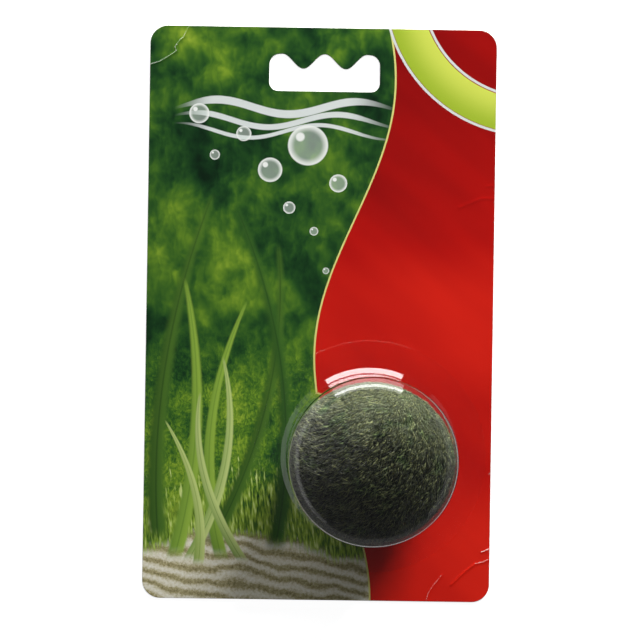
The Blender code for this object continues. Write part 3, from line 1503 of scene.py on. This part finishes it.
    def fibre_tool(self, coat: Coat, material: bpy.types.Material) -> NodeTool:
        """The tree that grows one coat on the mat: a curved tapering blade at each of many scattered points.

        Args:
            coat: the coat's count, sizes and seed.
            material: its material.

        Returns:
            The tree.
        """
        area = 4 * math.pi * self.half_width * self.half_height * self.coverage
        tool = NodeTool(
            coat.name,
            {
                "Fibres Per Square Metre": coat.count / area,
                "Length": coat.length,
                "Thickness": coat.thickness,
                "Lift": coat.lift,
                "Tangle": math.radians(coat.tangle),
                "Wander": coat.wander,
                "Seed": coat.seed,
            },
        )
        graph, seed = tool.graph, tool.size("Seed")

        def random(low: Value, high: Value, offset: int) -> Wire:
            """A random number for each point, of its own for each offset."""
            limits = {2: low, 3: high, "Seed": seed + offset}
            return graph.add("FunctionNodeRandomValue", {"data_type": "FLOAT"}, limits, 1)

        along = graph.add("GeometryNodeSplineParameter")
        # The fibre is one unit long and one unit wide. The instance's scale gives it its size.
        bend = graph.add(
            "GeometryNodeCurveQuadraticBezier",
            None,
            {
                "Resolution": 8,
                "Start": (0.0, 0.0, -0.12),
                "Middle": (0.42, 0.0, 0.95),
                "End": (1.0, 0.0, 0.30),
            },
        )
        line = graph.add("GeometryNodeResampleCurve", None, {"Curve": bend, "Count": 3})
        marked = graph.add(
            "GeometryNodeStoreNamedAttribute",
            {"data_type": "FLOAT", "domain": "POINT"},
            {"Geometry": line, "Name": "along", "Value": along},
        )
        circle = graph.add("GeometryNodeCurvePrimitiveCircle", None, {"Resolution": 3, "Radius": 1.0})
        profile = graph.add("GeometryNodeTransform", None, {"Geometry": circle, "Scale": (1.0, 0.08, 1.0)})
        taper = 0.67 * (1 - along) ** 0.6
        blade = graph.add(
            "GeometryNodeCurveToMesh",
            None,
            {"Curve": marked, "Profile Curve": profile, "Scale": taper, "Fill Caps": True},
        )
        tipped = graph.add("GeometryNodeMergeByDistance", None, {"Geometry": blade, "Distance": 0.001})
        cover = graph.add("GeometryNodeInputNamedAttribute", {"data_type": "FLOAT"}, {"Name": "cover"})
        points = graph.add(
            "GeometryNodeDistributePointsOnFaces",
            {"distribute_method": "RANDOM"},
            {
                "Mesh": tool.inlet.output("Geometry"),
                "Density": tool.size("Fibres Per Square Metre") * cover,
                "Seed": seed,
            },
        )
        flow = graph.add("GeometryNodeInputNamedAttribute", {"data_type": "FLOAT_VECTOR"}, {"Name": "flow"})
        laid = graph.add(
            "FunctionNodeAxesToRotation",
            {"primary_axis": "Z", "secondary_axis": "X"},
            {"Primary Axis": points.output("Normal"), "Secondary Axis": flow},
        )
        tangle = tool.size("Tangle")
        yaw = random(-1.0, 1.0, 1) + random(-1.0, 1.0, 2)
        pitch = -0.5 * tangle * random(-0.6, 1.0, 4)
        angles = graph.combine(random(-0.5, 0.5, 3), pitch, tangle * yaw)
        turn = graph.add("FunctionNodeEulerToRotation", None, {"Euler": angles})
        turned = graph.add(
            "FunctionNodeRotateRotation",
            {"rotation_space": "LOCAL"},
            {"Rotation": laid, "Rotate By": turn},
        )
        length = tool.size("Length") * random(0.55, 1.15, 5)
        height = length * tool.size("Lift") * random(0.45, 1.0, 6)
        scale = graph.combine(length, tool.size("Thickness") * random(0.7, 1.5, 7), height)
        grown = graph.add(
            "GeometryNodeInstanceOnPoints",
            None,
            {"Points": points, "Instance": tipped, "Rotation": turned, "Scale": scale},
        )
        tinted = graph.add(
            "GeometryNodeStoreNamedAttribute",
            {"data_type": "FLOAT", "domain": "INSTANCE"},
            {"Geometry": grown, "Name": "tint", "Value": random(0.0, 1.0, 8)},
        )
        solid = graph.add("GeometryNodeRealizeInstances", None, {"Geometry": tinted})
        stored = graph.add("GeometryNodeInputNamedAttribute", {"data_type": "FLOAT"}, {"Name": "along"})
        place = graph.add("GeometryNodeInputPosition")
        # The tips drift with their neighbours, and the roots stay.
        drift = graph.noise(graph.scaled(place, 1.0 / MM), 0.55, 2.0, 0.5).output("Color")
        centred = graph.vector("SUBTRACT", drift, (0.5, 0.5, 0.5))
        pull = graph.scaled(centred, 2.0 * tool.size("Wander") * stored)
        tool.close(graph.add("GeometryNodeSetPosition", None, {"Geometry": solid, "Offset": pull}), material)
        return tool

    def keep_in_dome(self, mesh: bpy.types.Mesh) -> None:
        """Presses what would pass through the dome, the crown or the card back inside.

        Args:
            mesh: the mat or a coat, which is changed.
        """
        places = np.empty(len(mesh.vertices) * 3, np.float32)
        mesh.vertices.foreach_get("co", places)
        places = places.reshape(-1, 3)
        flat = places[:, :2] - self.axis
        reach = np.linalg.norm(flat, axis=1)
        over = reach > self.room_radius
        places[over, :2] = self.axis + flat[over] * (self.room_radius / reach[over])[:, None]
        places[:, 2] = np.clip(places[:, 2], self.floor_z, self.room_top)
        mesh.vertices.foreach_set("co", places.ravel())
        mesh.update()

    def build(self) -> list[bpy.types.Object]:
        """Makes the mat and its coats and dresses them.

        Returns:
            The mat, and the coats from the innermost out.
        """
        mat = new_object("moss_mat", self.mat())
        pieces = [mat]
        for coat in self.coats:
            host = new_object("host", mat.data.copy())
            pieces.append(self.fibre_tool(coat, MossFibre().make()).run(host, coat.name))
        mat.data.materials.append(MossBody().make())
        for piece in pieces:
            self.keep_in_dome(piece.data)
            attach(piece, BODY)
            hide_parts("moss_ball")
        return pieces


# Studio


@dataclass(frozen=True)
class Panel:
    """A flat soft white lamp that faces a point. Its size is metres and its power watts."""

    name: str
    place: Point3
    aim: Point3
    size: Point2
    power: float
    mirrored: bool

    def build(self) -> None:
        """Puts the lamp up, hidden from the camera, and from mirrors too unless it is mirrored."""
        data = bpy.data.lights.new(self.name, "AREA")
        data.shape = "RECTANGLE"
        data.size, data.size_y = self.size
        data.energy = self.power
        lamp = bpy.data.objects.new(self.name, data)
        lamp.location = self.place
        facing = Vector(self.aim) - Vector(self.place)
        lamp.rotation_euler = facing.to_track_quat("-Z", "Y").to_euler()
        lamp.visible_camera = False
        lamp.visible_transmission = False
        lamp.visible_glossy = self.mirrored
        bpy.context.scene.collection.objects.link(lamp)


@dataclass
class Studio:
    """A pale floor, soft lamps and the camera."""

    floor_z: float = -0.0003
    floor_half: float = 3.0
    # How bright the floor is where it is looked at, and the floor and the surroundings where they aren't.
    floor_glow: float = 0.88
    floor_dimness: float = 0.30
    dimness: float = 0.04
    lens: float = 177.84
    sensor: float = 36.0
    camera_place: Point3 = (-0.0094, -0.0067, 0.884)
    # The camera's tilts about X and Y and its roll, in degrees.
    camera_turn: Point3 = (-0.32, 0.615, -0.871)
    lamps: tuple[Panel, ...] = (
        Panel("softbox", (-0.035, 0.60, 0.022), (-0.035, -0.04, 0.022), (0.65, 0.31), 2.4, True),
        Panel("strip", (-0.035, 0.59, 0.081), (-0.035, -0.04, 0.081), (0.65, 0.070), 1.75, True),
        Panel("left_wide", (-0.62, -0.16, 0.078), (0.0, -0.16, 0.078), (1.60, 0.13), 0.36, True),
        Panel("left_core", (-0.61, -0.10, 0.076), (0.0, -0.10, 0.076), (0.90, 0.08), 0.13, True),
        Panel("right_wide", (0.65, -0.04, 0.078), (0.0, -0.04, 0.078), (1.20, 0.13), 0.20, True),
        Panel("top_glow", (0.015, 0.59, -0.008), (0.015, -0.04, -0.008), (0.65, 0.080), 4.2, False),
        Panel("key", (0.434, 0.714, 0.530), (0.01, -0.02, 0.0), (0.35, 0.28), 11.0, False),
        Panel("low_key", (0.01, 0.970, 0.139), (0.01, -0.02, 0.0), (0.35, 0.28), 3.0, False),
        Panel("overhead", (0.01, 0.067, 0.996), (0.01, -0.02, 0.0), (0.8, 0.64), 0.9, False),
    )

    def build(self) -> None:
        """Makes the floor, the lamps, the surroundings and the camera."""
        self._floor()
        for lamp in self.lamps:
            lamp.build()
        self._world()
        self._camera()

    def _floor(self) -> None:
        """A pale table that the clear dome doesn't mirror."""
        half = self.floor_half
        mesh = bpy.data.meshes.new("floor")
        corners = [(-half, -half), (half, -half), (half, half), (-half, half)]
        mesh.from_pydata([(x, y, self.floor_z) for x, y in corners], [], [(0, 1, 2, 3)])
        constants = {"Base Color": (0.8, 0.8, 0.8), "Roughness": 0.9, "Specular IOR Level": 0.0}
        finish = Finish("floor_white", constants)
        graph = finish.graph
        glow, dim = (
            graph.add("ShaderNodeEmission", None, {"Color": (1.0, 1.0, 1.0), "Strength": strength})
            for strength in (self.floor_glow, self.floor_dimness)
        )
        lit = graph.add("ShaderNodeAddShader", None, {0: finish.principled(), 1: glow})
        finish.show(graph.add("ShaderNodeMixShader", None, {0: self._looked_at(graph), 1: dim, 2: lit}))
        mesh.materials.append(finish.material)
        floor = new_object("floor", mesh)
        floor.visible_glossy = False
        floor.visible_diffuse = False
        floor.visible_shadow = False

    @staticmethod
    def _looked_at(graph: Graph) -> Wire:
        """Tells what is looked at from what is only mirrored.

        Args:
            graph: the floor's graph or the world's.

        Returns:
            1 where it is seen directly or through the clear sheet, and 0 where it only lights or is mirrored.
        """
        direct = graph.add("ShaderNodeLightPath", None, None, "Is Camera Ray")
        unlit = graph.smooth(direct.output("Diffuse Depth") + direct.output("Glossy Depth"), 1.0, 0.0)
        return graph.math("MAXIMUM", direct, direct.output("Is Transmission Ray") * unlit)

    def _world(self) -> None:
        """Pale behind everything, and dim where the dome mirrors it."""
        world = bpy.data.worlds.new("studio")
        world.use_nodes = True
        bpy.context.scene.world = world
        graph = Graph(world.node_tree)
        pale = graph.add("ShaderNodeBackground", None, {"Color": (0.97, 0.97, 0.97), "Strength": 1.0})
        dim = graph.add("ShaderNodeBackground", None, {"Color": (0.9, 0.95, 1.0), "Strength": self.dimness})
        mixed = graph.add("ShaderNodeMixShader", None, {0: self._looked_at(graph), 1: dim, 2: pale})
        graph.feed(world.node_tree.nodes["World Output"].inputs["Surface"], mixed)

    def _camera(self) -> None:
        """The camera, almost square above the card."""
        data = bpy.data.cameras.new("camera")
        data.sensor_fit = "HORIZONTAL"
        data.sensor_width = self.sensor
        data.lens = self.lens
        data.clip_start, data.clip_end = 0.01, 20.0
        camera = bpy.data.objects.new("camera", data)
        tilt_x, tilt_y, roll = (math.radians(a) for a in self.camera_turn)
        turns = ((roll, "Z"), (tilt_y, "Y"), (tilt_x, "X"))
        about_z, about_y, about_x = (Matrix.Rotation(angle, 3, axis) for angle, axis in turns)
        to_camera = about_z @ about_y @ about_x
        camera.matrix_world = Matrix.Translation(self.camera_place) @ to_camera.transposed().to_4x4()
        bpy.context.scene.collection.objects.link(camera)
        bpy.context.scene.camera = camera
        bpy.context.scene.view_settings.view_transform = "Standard"


def triangles(piece: bpy.types.Object) -> int:
    """How many triangles a piece has."""
    return sum(len(p.vertices) - 2 for p in piece.data.polygons)


def main() -> None:
    """Builds the pack and the studio round it."""
    logging.basicConfig(level=logging.INFO, format="%(name)s: %(message)s")
    pieces = [PrintedCard().build(), ClearBlister().build(), *MossBall().build()]
    for piece in pieces:
        LOG.info("%s: %d triangles", piece.name, triangles(piece))
    Studio().build()


if __name__ == "__main__":
    main()
